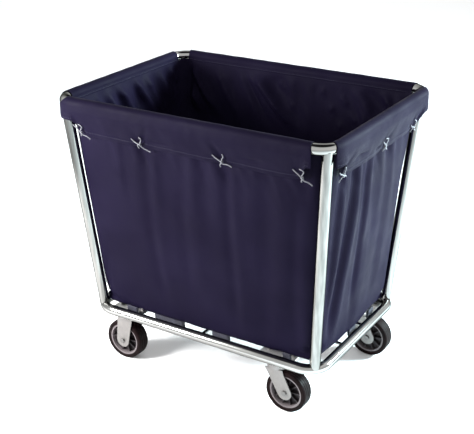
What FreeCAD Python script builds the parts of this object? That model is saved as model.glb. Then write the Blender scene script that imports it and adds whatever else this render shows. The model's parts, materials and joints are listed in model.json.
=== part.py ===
import FreeCAD, Part
import Sketcher
import math
import os

# Linen trolley: a bag of coated fabric hung in a frame of round tube on four casters.
# X runs along the long side, Y across, Z up. The origin is on the floor, at the middle of the
# trolley. The long side that faces -Y is the front, and the swivel casters are at the +X end.

doc = FreeCAD.newDocument("linen_trolley")
sheet = doc.addObject("Spreadsheet::Sheet", "Dims")

DIMENSIONS = {
    # frame of round tube, sizes to the middle of the tube
    "tube_dia": 30,
    "tube_wall": 1.5,
    "top_length": 850,
    "top_width": 608,
    "top_height": 835,
    "top_bend": 52,
    "low_length": 756,
    "low_width": 497,
    "low_height": 179,
    "low_bend": 60,
    "weld_gap": 0.05,
    "leg_set_back": 4,
    "rod_dia": 10,
    "rod_offset": 65,
    # bag
    "cloth": 2,
    "cloth_gap": 0.3,
    "bag_floor": 192,
    "bag_low_length": 712,
    "bag_low_width": 444,
    "bag_low_corner": 12,
    "bag_top_corner": 52,
    "flap_drop": 92,
    "flap_straight": 18,
    "flap_lean": 24,
    "flap_lip": 10,
    "flap_corner": 26,
    "tab_height": 22,
    "tab_thick": 2,
    "tab_inset": 1,
    # casters
    "wheel_dia": 127,
    "wheel_width": 42,
    "tread_round": 5,
    "groove_depth": 1.2,
    "groove_width": 1.6,
    "groove_spread": 9,
    "tyre_bore": 102,
    "rim_inner": 88,
    "rim_width": 38,
    "rim_taper": 2,
    "web_width": 6,
    "barrel_dia": 30,
    "rib_width": 26,
    "rib_thick": 3,
    "bush_dia": 18,
    "bush_length": 44,
    "bush_proud": 1,
    "axle_dia": 12,
    "axle_thread": 9,
    "running_gap": 0.05,
    "fork_gap": 46,
    "fork_wall": 3,
    "fork_top_width": 54,
    "fork_end_round": 22,
    "fork_crown_height": 131,
    "caster_height": 160,
    "plate_thick": 4,
    "plate_corner": 8,
    "plate_length": 96,
    "plate_width": 68,
    "mount_length": 112,
    "mount_width": 96,
    "mount_inset": 200,
    "hole_pitch_long": 76,
    "hole_pitch_wide": 38,
    "hole_dia": 8.4,
    "bolt_dia": 8,
    "head_thick": 5,
    "thread_proud": 2,
    "head_flats": 13,
    "axle_head_flats": 14,
    "axle_proud": 3,
    "race_dia": 58,
    "race_radius": 20,
    "ball_dia": 6,
    "ball_height": 145,
    "race_land": 1,
    "crown_margin": 1,
    "kingpin_dia": 12,
    "kingpin_head": 24,
    "pin_head_thick": 3,
    "pin_gap": 0.3,
    "front_inset": 196,
    "back_inset": 208,
    "rigid_place": -295,
    "rigid_lean": -13,
    "swivel_front_place": 226,
    "swivel_rear_place": 292,
    "swivel_trail": 36,
    # laces that tie the flap down
    "lace_dia": 3.2,
    "knot_dia": 7,
    "knot_thick": 3,
    "knot_gap": 0.6,
    "knot_lift": 12,
    # how far a cutting shape runs past what it cuts
    "overcut": 1,
}

for row, (alias, size) in enumerate(DIMENSIONS.items(), start=1):
    sheet.set(f"A{row}", alias)
    sheet.set(f"B{row}", str(size))
    sheet.setAlias(f"B{row}", alias)
doc.recompute()

X_AXIS = FreeCAD.Vector(1, 0, 0)
Y_AXIS = FreeCAD.Vector(0, 1, 0)
Z_AXIS = FreeCAD.Vector(0, 0, 1)

BALL_COUNT = 14
RIB_COUNT = 10

pieces = []


def dims(text):
    """The same formula with every alias read from the sheet."""
    words = []
    for word in text.split():
        words.append(f"Dims.{word}" if word in DIMENSIONS else word)
    return " ".join(words)


def size(text):
    """The number that a formula of aliases gives."""
    return float(sheet.evalExpression(dims(text)))


def bind(thing, prop, text):
    thing.setExpression(prop, dims(text))


def place(thing, spot=(None, None, None), axis=Z_AXIS, turn=0.0):
    """Puts an object at a spot given by formulas, turned about an axis."""
    thing.Placement = FreeCAD.Placement(FreeCAD.Vector(0, 0, 0), FreeCAD.Rotation(axis, turn))
    for letter, text in zip("xyz", spot):
        if text is not None:
            bind(thing, f"Placement.Base.{letter}", text)
    return thing


def keep(thing, label):
    """Marks an object as a finished sub-part."""
    thing.Label = label
    pieces.append(thing)
    return thing


def primitive(kind, name, sizes, spot=(None, None, None), axis=Z_AXIS, turn=0.0):
    thing = doc.addObject(f"Part::{kind}", name)
    for prop, text in sizes.items():
        bind(thing, prop, text)
    return place(thing, spot, axis, turn)


def cylinder(name, radius, height, spot=(None, None, None), axis=Z_AXIS, turn=0.0):
    return primitive("Cylinder", name, {"Radius": radius, "Height": height}, spot, axis, turn)


def box(name, length, width, height, spot=(None, None, None), axis=Z_AXIS, turn=0.0):
    sizes = {"Length": length, "Width": width, "Height": height}
    return primitive("Box", name, sizes, spot, axis, turn)


def cut(name, base, tool):
    result = doc.addObject("Part::Cut", name)
    result.Base = base
    result.Tool = tool
    return result


def fuse(name, shapes):
    result = doc.addObject("Part::MultiFuse", name)
    result.Shapes = shapes
    return result


def group(name, shapes):
    result = doc.addObject("Part::Compound", name)
    result.Links = shapes
    return result


# ---------------------------------------------------------------- sketches

def origin_plane(body, role):
    for feature in body.Origin.OriginFeatures:
        if feature.Role == role:
            return feature
    raise ValueError(role)


def new_sketch(body, name, role, offset=None):
    sketch = body.newObject("Sketcher::SketchObject", name)
    sketch.AttachmentSupport = [(origin_plane(body, role), "")]
    sketch.MapMode = "FlatFace"
    if offset:
        bind(sketch, "AttachmentOffset.Base.z", offset)
    return sketch


def pin_point(sketch, geometry, corner, across, up, tag):
    """Fixes one point of a sketch to formulas of the sheet."""
    for kind, text, axis, name in (
        ("DistanceX", across, -2, f"{tag}_across"),
        ("DistanceY", up, -1, f"{tag}_up"),
    ):
        if abs(size(text)) < 1e-9:
            sketch.addConstraint(Sketcher.Constraint("PointOnObject", geometry, corner, axis))
        else:
            index = sketch.addConstraint(
                Sketcher.Constraint(kind, -1, 1, geometry, corner, size(text))
            )
            sketch.renameConstraint(index, name)
            bind(sketch, f"Constraints.{name}", text)


def outline(sketch, points, tag="p"):
    """A closed polygon whose corners are pairs of formulas."""
    spots = [FreeCAD.Vector(size(across), size(up), 0) for across, up in points]
    count = len(points)
    first = sketch.GeometryCount
    for i in range(count):
        sketch.addGeometry(Part.LineSegment(spots[i], spots[(i + 1) % count]), False)
    for i in range(count):
        after = (i + 1) % count
        sketch.addConstraint(Sketcher.Constraint("Coincident", first + i, 2, first + after, 1))
    for i, (across, up) in enumerate(points):
        pin_point(sketch, first + i, 1, across, up, f"{tag}{i}")


def circle(sketch, radius, across="0", up="0", tag="ring"):
    spot = FreeCAD.Vector(size(across), size(up), 0)
    index = sketch.addGeometry(Part.Circle(spot, Z_AXIS, size(radius)), False)
    pin_point(sketch, index, 3, across, up, tag)
    constraint = sketch.addConstraint(Sketcher.Constraint("Radius", index, size(radius)))
    sketch.renameConstraint(constraint, f"{tag}_radius")
    bind(sketch, f"Constraints.{tag}_radius", radius)


def rounded_rectangle(sketch, half_length, half_width, bend):
    """A rectangle about the origin with four equal round corners."""
    a, b, r = size(half_length), size(half_width), size(bend)
    corners = [(a, -b), (a, b), (-a, b), (-a, -b)]
    for i, (x, y) in enumerate(corners):
        before = corners[i - 1]
        start = FreeCAD.Vector(before[0], before[1], 0)
        end = FreeCAD.Vector(x, y, 0)
        along = (end - start).normalize() * r
        sketch.addGeometry(Part.LineSegment(start + along, end - along), False)
        centre = FreeCAD.Vector(x - math.copysign(r, x), y - math.copysign(r, y), 0)
        from_angle = (i - 1) * math.pi / 2
        arc = Part.ArcOfCircle(
            Part.Circle(centre, Z_AXIS, r), from_angle, from_angle + math.pi / 2
        )
        sketch.addGeometry(arc, False)
    for i in range(4):
        line, arc, after = 2 * i, 2 * i + 1, (2 * i + 2) % 8
        sketch.addConstraint(Sketcher.Constraint("Tangent", line, 2, arc, 1))
        sketch.addConstraint(Sketcher.Constraint("Tangent", arc, 2, after, 1))
        sketch.addConstraint(Sketcher.Constraint("Vertical" if i % 2 else "Horizontal", line))
        if i:
            sketch.addConstraint(Sketcher.Constraint("Equal", 1, arc))
    named = (
        ("bend", Sketcher.Constraint("Radius", 1, r), bend),
        ("right", Sketcher.Constraint("DistanceX", -1, 1, 2, 1, a), half_length),
        ("left", Sketcher.Constraint("DistanceX", 6, 1, -1, 1, a), half_length),
        ("back", Sketcher.Constraint("DistanceY", -1, 1, 4, 1, b), half_width),
        ("front", Sketcher.Constraint("DistanceY", 0, 1, -1, 1, b), half_width),
    )
    for name, constraint, text in named:
        index = sketch.addConstraint(constraint)
        sketch.renameConstraint(index, name)
        bind(sketch, f"Constraints.{name}", text)


def pad(body, sketch, name, length, both=False):
    feature = body.newObject("PartDesign::Pad", name)
    feature.Profile = sketch
    bind(feature, "Length", length)
    feature.Midplane = both
    return feature


def pocket(body, sketch, name):
    """A cut right through, both ways from the sketch's plane."""
    feature = body.newObject("PartDesign::Pocket", name)
    feature.Profile = sketch
    feature.Type = 1
    feature.Midplane = True
    return feature


def revolved(points, tag):
    """A body turned about the Y axis from a half section: (along Y, radius) pairs."""
    body = doc.addObject("PartDesign::Body", tag)
    sketch = new_sketch(body, f"{tag}_section", "YZ_Plane")
    outline(sketch, points)
    feature = body.newObject("PartDesign::Revolution", f"{tag}_turned")
    feature.Profile = sketch
    feature.ReferenceAxis = (sketch, ["H_Axis"])
    feature.Angle = 360
    return body


# ---------------------------------------------------------------- tube frame

def ring_body(name, length, width, bend, height, radius):
    """A closed ring of solid round bar lying flat."""
    body = doc.addObject("PartDesign::Body", name)
    route = new_sketch(body, f"{name}_route", "XY_Plane")
    rounded_rectangle(route, f"{length} / 2", f"{width} / 2", bend)
    section = new_sketch(body, f"{name}_section", "YZ_Plane")
    circle(section, radius, f"0 - {width} / 2")
    doc.recompute()
    bar = body.newObject("PartDesign::AdditivePipe", f"{name}_bar")
    bar.Profile = section
    bar.Spine = (route, [f"Edge{i}" for i in range(1, 9)])
    return place(body, (None, None, height))


def tube_ring(label, sizes):
    """A hollow ring. Returns a slightly thicker solid one that shapes what is welded to it."""
    outside = ring_body(f"{label}_outside", *sizes, "tube_dia / 2")
    bore = ring_body(f"{label}_bore", *sizes, "tube_dia / 2 - tube_wall")
    keep(cut(f"{label}_tube", outside, bore), label)
    return ring_body(f"{label}_envelope", *sizes, "tube_dia / 2 + weld_gap")


top_envelope = tube_ring("top_ring", ("top_length", "top_width", "top_bend", "top_height"))
low_envelope = tube_ring("bottom_ring", ("low_length", "low_width", "low_bend", "low_height"))

# A leg runs from the middle of one bend to the middle of the bend below it.
BEND_INSET = 1 - math.sqrt(0.5)
SIDES = (("front_left", -1, -1), ("front_right", 1, -1), ("back_right", 1, 1), ("back_left", -1, 1))


def make_leg(corner, x_side, y_side):
    top = FreeCAD.Vector(
        x_side * (size("top_length / 2") - BEND_INSET * size("top_bend")),
        y_side * (size("top_width / 2") - BEND_INSET * size("top_bend")),
        size("top_height"),
    )
    foot = FreeCAD.Vector(
        x_side * (size("low_length / 2") - BEND_INSET * size("low_bend")),
        y_side * (size("low_width / 2") - BEND_INSET * size("low_bend")),
        size("low_height"),
    )
    # The tube stops just short of both middles, so that its walls don't graze the rings' sides.
    run = top - foot
    turn = FreeCAD.Rotation(Z_AXIS, run)
    foot += run * (size("leg_set_back") / run.Length)
    parts = []
    for name, radius in (("outside", "tube_dia / 2"), ("bore", "tube_dia / 2 - tube_wall")):
        tube = doc.addObject("Part::Cylinder", f"leg_{corner}_{name}")
        bind(tube, "Radius", radius)
        tube.Height = run.Length - 2 * size("leg_set_back")
        tube.Placement = FreeCAD.Placement(foot, turn)
        parts.append(tube)
    tube = cut(f"leg_{corner}_tube", parts[0], parts[1])
    coped_low = cut(f"leg_{corner}_coped_low", tube, low_envelope)
    return keep(cut(f"leg_{corner}", coped_low, top_envelope), f"leg_{corner}")


for corner_name, x_sign, y_sign in SIDES:
    make_leg(corner_name, x_sign, y_sign)

# The base is one cross rod lying on two long rods, all welded to the inside of the bottom ring.
cross_rod = cylinder(
    "cross_rod_bar", "rod_dia / 2", "low_width",
    (None, "low_width / 2", "low_height + rod_dia / 2"), X_AXIS, 90,
)
rods = [cut("cross_rod", cross_rod, low_envelope)]
for side in (-1, 1):
    bar = cylinder(
        f"long_rod_bar_{side + 1}", "rod_dia / 2", "low_length",
        ("-( low_length ) / 2", f"{side} * rod_offset", "low_height - rod_dia / 2"), Y_AXIS, 90,
    )
    rods.append(cut(f"long_rod_{side + 1}", bar, low_envelope))
keep(group("base_rods", rods), "base_rods")


# ---------------------------------------------------------------- bag

def loft_body(name, low, high, low_height, high_height):
    """A straight loft between two rounded rectangles; each is (length, width, corner)."""
    body = doc.addObject("PartDesign::Body", name)
    sections = []
    for tag, (length, width, corner), height in (
        ("low", low, low_height), ("high", high, high_height)
    ):
        sketch = new_sketch(body, f"{name}_{tag}", "XY_Plane", height)
        rounded_rectangle(sketch, f"( {length} ) / 2", f"( {width} ) / 2", corner)
        sections.append(sketch)
    doc.recompute()
    loft = body.newObject("PartDesign::AdditiveLoft", f"{name}_loft")
    loft.Profile = sections[0]
    loft.Sections = [sections[1]]
    loft.Ruled = True
    return body


def inside_rail(side, layers):
    """The space between two rails, less a gap and some layers of cloth on each side."""
    return f"{side} - tube_dia - 2 * cloth_gap - {2 * layers} * cloth"


bag_outside = loft_body(
    "bag_outside",
    ("bag_low_length", "bag_low_width", "bag_low_corner"),
    (inside_rail("top_length", 0), inside_rail("top_width", 0), "bag_top_corner"),
    "bag_floor", "top_height - flap_lip",
)
bag_inside = loft_body(
    "bag_inside",
    ("bag_low_length - 2 * cloth", "bag_low_width - 2 * cloth", "bag_low_corner - cloth"),
    (inside_rail("top_length", 1), inside_rail("top_width", 1), "bag_top_corner - cloth"),
    "bag_floor + cloth", "top_height - flap_lip",
)
keep(cut("bag_shell", bag_outside, bag_inside), "bag")


def make_flap(name, length, reach, turn):
    """The cloth that wraps over one rail and hangs down outside it, on the -Y side at turn 0."""
    body = doc.addObject("PartDesign::Body", f"flap_{name}_body")
    sketch = new_sketch(body, f"flap_{name}_section", "YZ_Plane")
    inner = "tube_dia / 2 + cloth_gap"
    outer = "tube_dia / 2 + cloth_gap + cloth"
    hanging = [
        (f"0 - ( {outer} )", "0 - flap_straight"),
        (f"flap_lean - ( {outer} )", "0 - flap_drop"),
        (f"flap_lean - ( {inner} )", "0 - flap_drop"),
        (f"0 - ( {inner} )", "0 - flap_straight"),
    ]
    lip = [(inner, "0 - flap_lip"), (outer, "0 - flap_lip")]
    corners = [
        (f"0 - ( {outer} )", "0"), *hanging, (f"0 - ( {inner} )", "0"),
        (inner, "0"), *lip, (outer, "0"),
    ]
    spots = [FreeCAD.Vector(size(across), size(up), 0) for across, up in corners]
    for i, j in ((0, 1), (1, 2), (2, 3), (3, 4), (4, 5), (6, 7), (7, 8), (8, 9)):
        sketch.addGeometry(Part.LineSegment(spots[i], spots[j]), False)
    for radius in (inner, outer):
        over_rail = Part.Circle(FreeCAD.Vector(0, 0, 0), Z_AXIS, size(radius))
        arc = sketch.addGeometry(Part.ArcOfCircle(over_rail, 0, math.pi), False)
        sketch.addConstraint(Sketcher.Constraint("Coincident", arc, 3, -1, 1))
        for end in (1, 2):
            sketch.addConstraint(Sketcher.Constraint("PointOnObject", arc, end, -1))
        index = sketch.addConstraint(Sketcher.Constraint("Radius", arc, size(radius)))
        sketch.renameConstraint(index, f"over_rail_{arc}")
        bind(sketch, f"Constraints.over_rail_{arc}", radius)
    joins = (
        (0, 2, 1, 1), (1, 2, 2, 1), (2, 2, 3, 1), (3, 2, 4, 1), (4, 2, 8, 2),
        (8, 1, 5, 1), (5, 2, 6, 1), (6, 2, 7, 1), (7, 2, 9, 1), (9, 2, 0, 1),
    )
    for first, end, second, start in joins:
        sketch.addConstraint(Sketcher.Constraint("Coincident", first, end, second, start))
    for line, corner in ((1, 1), (2, 2), (3, 3), (4, 4), (6, 7), (7, 8)):
        pin_point(sketch, line, 1, *corners[corner], f"corner{line}")
    pad(body, sketch, f"flap_{name}_strip", length, True)
    # The lower corners of the hanging part are cut off at a slant.
    for side in (-1, 1):
        wedge = new_sketch(body, f"flap_{name}_wedge_{side + 1}", "XZ_Plane")
        outline(wedge, [
            (f"{side} * ( ( {length} ) / 2 + overcut )", "0 - flap_drop - overcut"),
            (f"{side} * ( ( {length} ) / 2 - flap_corner )", "0 - flap_drop - overcut"),
            (f"{side} * ( ( {length} ) / 2 + overcut )", "flap_corner - flap_drop"),
        ])
        pocket(body, wedge, f"flap_{name}_slant_{side + 1}")
    return keep(place(body, reach, Z_AXIS, turn), f"flap_{name}")


LONG_FLAP = "top_length - 2 * top_bend"
SHORT_FLAP = "top_width - 2 * top_bend"
make_flap("front", LONG_FLAP, (None, "0 - top_width / 2", "top_height"), 0)
make_flap("back", LONG_FLAP, (None, "top_width / 2", "top_height"), 180)
make_flap("left", SHORT_FLAP, ("0 - top_length / 2", None, "top_height"), -90)
make_flap("right", SHORT_FLAP, ("top_length / 2", None, "top_height"), 90)


# Webbing tabs sewn along the lower edge of the bag hang down inside the bottom ring.
TABS = (
    # side, place along the side, width
    ("front", -262, 36), ("front", -127, 104), ("front", 52, 56), ("front", 268, 24),
    ("back", -268, 24), ("back", -52, 56), ("back", 127, 104), ("back", 262, 36),
    ("left", -134, 32), ("left", -10, 40), ("right", 10, 40), ("right", 134, 32),
)


def make_tab(number, side, along, width):
    """A flat strip of webbing hung from the underside of the bag, just inside its edge."""
    half = "bag_low_width / 2" if side in ("front", "back") else "bag_low_length / 2"
    near = f"tab_inset - {half}" if side in ("front", "left") else f"{half} - tab_inset - tab_thick"
    start = str(along - width / 2)
    height = "bag_floor - tab_height"
    if side in ("front", "back"):
        return box(f"tab_{number}", str(width), "tab_thick", "tab_height", (start, near, height))
    return box(f"tab_{number}", "tab_thick", str(width), "tab_height", (near, start, height))


keep(group("tabs", [make_tab(i, *tab) for i, tab in enumerate(TABS)]), "bottom_tabs")


# ---------------------------------------------------------------- laces

# Each lace comes out of the flap's hem, is knotted there, and its tail hangs free. Its points
# are (along the rail, up from the knot, out from the cloth), as seen from outside.
TAILS = (
    (
        (-24, 20, 2.6), (-17, 14, 3.0), (-8, 8, 4.6), (0, 0, 6.2),
        (3, -7, 5.6), (11, -9, 4.0), (19, -12, 3.0), (25, -18, 2.6),
    ),
    (
        (-27, 13, 2.6), (-20, 6, 3.0), (-11, 2, 4.8), (-2, 0, 6.2),
        (4, -6, 5.8), (11, -12, 4.2), (20, -15, 3.0), (28, -19, 2.6),
    ),
    (
        (-27, 14, 2.6), (-20, 8, 3.0), (-11, 4, 4.8), (-3, 0, 6.2),
        (2, -7, 5.6), (11, -7, 4.0), (20, -8, 3.0), (27, -13, 2.6),
    ),
)
LONG_TIES = (-344, -142, 117, 350)
SHORT_TIES = (-234, 15, 207)
LACES = (
    [("front", along, i % 3) for i, along in enumerate(LONG_TIES)]
    + [("back", -along, (i + 1) % 3) for i, along in enumerate(LONG_TIES)]
    + [("left", -along, (i + 1) % 3) for i, along in enumerate(SHORT_TIES)]
    + [("right", along, (i + 2) % 3) for i, along in enumerate(SHORT_TIES)]
)
SIDE_TURN = {"front": 0, "right": 90, "back": 180, "left": -90}
BEND_SHARE = 0.45


def side_frame(side):
    """Where a side's rail is, as a placement whose -Y points outward."""
    half = size("top_width / 2") if side in ("front", "back") else size("top_length / 2")
    turn = FreeCAD.Rotation(Z_AXIS, SIDE_TURN[side])
    middle = turn.multVec(FreeCAD.Vector(0, -half, 0)) + Z_AXIS * size("top_height")
    return FreeCAD.Placement(middle, turn)


def flap_slope():
    """How far the flap leans in for each millimetre down, below its straight part."""
    return size("flap_lean / ( flap_drop - flap_straight )")


def tie_spot(along):
    """The point on the outer face of a flap, near its lower edge, where a lace is knotted."""
    up = size("knot_lift - flap_drop")
    leaned = flap_slope() * (-up - size("flap_straight"))
    return FreeCAD.Vector(along, leaned - size("tube_dia / 2 + cloth_gap + cloth"), up)


def rounded_path(points, bend_share):
    """Straight runs joined by tangent arcs, with the radius of each arc."""
    edges = []
    radii = []
    start = points[0]
    for before, here, after in zip(points, points[1:], points[2:]):
        back = before - here
        ahead = after - here
        turn = math.pi - back.getAngle(ahead)
        reach = bend_share * min(back.Length, ahead.Length)
        radii.append(reach / math.tan(turn / 2))
        back.normalize()
        ahead.normalize()
        enter = here + back * reach
        leave = here + ahead * reach
        halfway = (back + ahead).normalize()
        to_centre = radii[-1] / math.cos(turn / 2)
        middle = here + halfway * (to_centre - radii[-1])
        edges.append(Part.LineSegment(start, enter).toShape())
        edges.append(Part.Arc(enter, middle, leave).toShape())
        start = leave
    edges.append(Part.LineSegment(start, points[-1]).toShape())
    return Part.Wire(edges), radii


def make_lace(number, side, along, kind):
    frame = side_frame(side)
    spot = tie_spot(along)
    points = []
    for across, up, out in TAILS[kind]:
        points.append(frame.multVec(spot + FreeCAD.Vector(across, -out - flap_slope() * up, up)))
    path, radii = rounded_path(points, BEND_SHARE)
    radius = size("lace_dia / 2")
    section = Part.Wire(Part.Circle(points[0], points[1] - points[0], radius).toShape())
    lace = doc.addObject("Part::Feature", f"lace_shape_{number}")
    lace.Shape = path.makePipeShell([section], True, False)
    exact = math.pi * radius ** 2 * path.Length
    assert abs(lace.Shape.Volume - exact) < 0.01 * exact
    print(f"lace {side} {number}: length {path.Length:.1f}, least radius {min(radii):.1f}")
    return keep(lace, f"lace_{side}_{number}")


def make_knot(number, side, along):
    """The knot, a small round lump between the lace and the flap."""
    knot = doc.addObject("Part::Cylinder", f"knot_{number}")
    bind(knot, "Radius", "knot_dia / 2")
    bind(knot, "Height", "knot_thick")
    frame = side_frame(side)
    inward = FreeCAD.Vector(0, 1, flap_slope()).normalize()
    spot = frame.multVec(tie_spot(along) - inward * size("knot_gap + knot_thick"))
    turn = FreeCAD.Rotation(Z_AXIS, frame.Rotation.multVec(inward))
    knot.Placement = FreeCAD.Placement(spot, turn)
    return knot


side_counts = {}
for lace_side, lace_along, lace_kind in LACES:
    side_counts[lace_side] = side_counts.get(lace_side, 0) + 1
    make_lace(side_counts[lace_side], lace_side, lace_along, lace_kind)
knots = [make_knot(i, side, along) for i, (side, along, kind) in enumerate(LACES)]
keep(group("knots", knots), "lace_knots")


# ---------------------------------------------------------------- casters

CASTERS = {
    "front_left": ("rigid_place", "0 - front_inset"),
    "back_left": ("rigid_place", "back_inset"),
    "front_right": ("swivel_front_place", "0 - front_inset"),
    "back_right": ("swivel_rear_place", "back_inset"),
}
RIGID = ("front_left", "back_left")
SWIVEL = ("front_right", "back_right")
AXLE_HEIGHT = "wheel_dia / 2"


def axle_place(caster):
    across, along = CASTERS[caster]
    shift = "rigid_lean" if caster in RIGID else "swivel_trail"
    return (f"{across} + {shift}", along, AXLE_HEIGHT)


def bolt_spots():
    for x_side in (-1, 1):
        for y_side in (-1, 1):
            yield f"{x_side} * hole_pitch_long / 2", f"{y_side} * hole_pitch_wide / 2"


def plate_body(name, length, width, shift="0"):
    """A flat plate with four bolt holes round its origin; its outline may be shifted along Y."""
    body = doc.addObject("PartDesign::Body", name)
    sketch = new_sketch(body, f"{name}_outline", "XY_Plane")
    bind(sketch, "AttachmentOffset.Base.y", shift)
    rounded_rectangle(sketch, f"{length} / 2", f"{width} / 2", "plate_corner")
    pad(body, sketch, f"{name}_slab", "plate_thick")
    doc.recompute()
    holes = new_sketch(body, f"{name}_holes", "XY_Plane")
    for i, (across, up) in enumerate(bolt_spots()):
        circle(holes, "hole_dia / 2", across, up, f"hole{i}")
    pocket(body, holes, f"{name}_drilled")
    return body


# The mount plates are welded under the bottom ring and reach inward over the casters.
mounts = []
for caster, (across, along) in CASTERS.items():
    inset = "0 - mount_inset" if caster.startswith("front") else "mount_inset"
    shift = f"( {inset} ) - ( {along} )"
    mount = plate_body(f"mount_{caster}", "mount_length", "mount_width", shift)
    mounts.append(place(mount, (across, along, "caster_height")))
keep(group("mounts", mounts), "caster_mount_plates")

def hexagon(name, flats, height, spot, axis=Z_AXIS, turn=0.0):
    """A hexagonal prism; flats is the width across its flats."""
    prism = doc.addObject("Part::Prism", name)
    prism.Polygon = 6
    bind(prism, "Circumradius", f"{flats} / 2 / cos( 30 deg )")
    bind(prism, "Height", height)
    return place(prism, spot, axis, turn)


# Each bolt goes down through a mount plate and the caster's own plate into its nut.
bolt_shapes = []
nut_shapes = []
for caster, (across, along) in CASTERS.items():
    for i, (hole_across, hole_up) in enumerate(bolt_spots()):
        name = f"{caster}_{i}"
        x_place, y_place = f"{across} + {hole_across}", f"{along} + {hole_up}"
        head = hexagon(
            f"bolt_head_{name}", "head_flats", "head_thick",
            (x_place, y_place, "caster_height + plate_thick"),
        )
        shank = cylinder(
            f"bolt_shank_{name}", "bolt_dia / 2", "2 * plate_thick + head_thick + thread_proud",
            (x_place, y_place, "caster_height - plate_thick - head_thick - thread_proud"),
        )
        bolt_shapes.append(fuse(f"bolt_{name}", [head, shank]))
        block = hexagon(
            f"nut_block_{name}", "head_flats", "head_thick",
            (x_place, y_place, "caster_height - plate_thick - head_thick"),
        )
        hole = cylinder(
            f"nut_hole_{name}", "bolt_dia / 2", "head_thick + 2 * overcut",
            (x_place, y_place, "caster_height - plate_thick - head_thick - overcut"),
        )
        nut_shapes.append(cut(f"nut_{name}", block, hole))
keep(group("bolts", bolt_shapes), "plate_bolts")
keep(group("nuts", nut_shapes), "plate_nuts")


def leg_sketch(body, name, top, axle_shift):
    """The side view of a fork leg: two straight edges down to a round end about the axle."""
    sketch = new_sketch(body, name, "XZ_Plane")
    centre = FreeCAD.Vector(size(axle_shift), size("wheel_dia / 2"), 0)
    radius = size("fork_end_round")
    tops = [f"{side} * fork_top_width / 2" for side in (-1, 1)]
    corners = [FreeCAD.Vector(size(across), size(top), 0) for across in tops]
    touches = []
    for side, corner in zip((-1, 1), corners):
        reach = centre - corner
        # The edge leaves its top corner at this angle from the line to the axle, and is a
        # tangent to the round end.
        lean = FreeCAD.Rotation(Z_AXIS, side * math.degrees(math.asin(radius / reach.Length)))
        run = math.sqrt(reach.Length ** 2 - radius ** 2)
        touches.append(corner + lean.multVec(reach).normalize() * run)
    angles = [math.atan2(spot.y - centre.y, spot.x - centre.x) for spot in touches]
    sketch.addGeometry(Part.LineSegment(corners[0], touches[0]), False)
    end = Part.Circle(centre, Z_AXIS, radius)
    sketch.addGeometry(Part.ArcOfCircle(end, angles[0], angles[1] + 2 * math.pi), False)
    sketch.addGeometry(Part.LineSegment(touches[1], corners[1]), False)
    sketch.addGeometry(Part.LineSegment(corners[1], corners[0]), False)
    sketch.addConstraint(Sketcher.Constraint("Tangent", 0, 2, 1, 1))
    sketch.addConstraint(Sketcher.Constraint("Tangent", 1, 2, 2, 1))
    sketch.addConstraint(Sketcher.Constraint("Coincident", 2, 2, 3, 1))
    sketch.addConstraint(Sketcher.Constraint("Coincident", 3, 2, 0, 1))
    pin_point(sketch, 0, 1, tops[0], top, "left_top")
    pin_point(sketch, 3, 1, tops[1], top, "right_top")
    pin_point(sketch, 1, 3, axle_shift, "wheel_dia / 2", "end")
    index = sketch.addConstraint(Sketcher.Constraint("Radius", 1, radius))
    sketch.renameConstraint(index, "end_radius")
    bind(sketch, "Constraints.end_radius", "fork_end_round")
    return sketch


def side_legs(name, top, axle_shift):
    """Two fork legs with the gap for the wheel between them and holes for the axle bolt."""
    body = doc.addObject("PartDesign::Body", name)
    pad(
        body, leg_sketch(body, f"{name}_side", top, axle_shift),
        f"{name}_block", "fork_gap + 2 * fork_wall", True,
    )
    doc.recompute()
    gap = new_sketch(body, f"{name}_gap", "YZ_Plane")
    outline(gap, [
        ("0 - fork_gap / 2", "0"), ("fork_gap / 2", "0"),
        ("fork_gap / 2", f"{top} + overcut"), ("0 - fork_gap / 2", f"{top} + overcut"),
    ])
    pocket(body, gap, f"{name}_slot")
    hole = new_sketch(body, f"{name}_hole", "XZ_Plane")
    circle(hole, "axle_thread / 2", axle_shift, "wheel_dia / 2", "axle")
    pocket(body, hole, f"{name}_axle_hole")
    return body


def axle_bolt(caster):
    """A shoulder bolt: head outside one leg, thick shoulder between the legs, thread beyond."""
    x_place, y_place, z_place = axle_place(caster)
    outer = "fork_gap / 2 + fork_wall"
    head = hexagon(
        f"axle_head_{caster}", "axle_head_flats", "head_thick",
        (x_place, f"{y_place} - ( {outer} )", z_place), X_AXIS, 90,
    )
    shoulder = cylinder(
        f"axle_shoulder_{caster}", "axle_dia / 2", "fork_gap",
        (x_place, f"{y_place} + fork_gap / 2", z_place), X_AXIS, 90,
    )
    thread = cylinder(
        f"axle_thread_{caster}", "axle_thread / 2",
        "fork_gap + 2 * fork_wall + head_thick + axle_proud",
        (x_place, f"{y_place} + {outer} + head_thick + axle_proud", z_place), X_AXIS, 90,
    )
    return fuse(f"axle_{caster}", [head, shoulder, thread])


def axle_nut(caster):
    x_place, y_place, z_place = axle_place(caster)
    outer = "fork_gap / 2 + fork_wall + head_thick"
    block = hexagon(
        f"axle_nut_block_{caster}", "axle_head_flats", "head_thick",
        (x_place, f"{y_place} + {outer}", z_place), X_AXIS, 90,
    )
    hole = cylinder(
        f"axle_nut_hole_{caster}", "axle_thread / 2", "head_thick + 2 * overcut",
        (x_place, f"{y_place} + {outer} + overcut", z_place), X_AXIS, 90,
    )
    return cut(f"axle_nut_{caster}", block, hole)


def rigid_bracket(caster):
    """The fixed caster's bracket: a top plate with the two legs folded down from it."""
    across, along = CASTERS[caster]
    plate = place(
        plate_body(f"rigid_plate_{caster}", "plate_length", "plate_width"),
        (across, along, "caster_height - plate_thick"),
    )
    legs = side_legs(f"rigid_legs_{caster}", "caster_height - plate_thick", "rigid_lean")
    place(legs, (across, along, None))
    return keep(fuse(f"rigid_{caster}", [plate, legs]), f"caster_bracket_{caster}")


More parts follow.
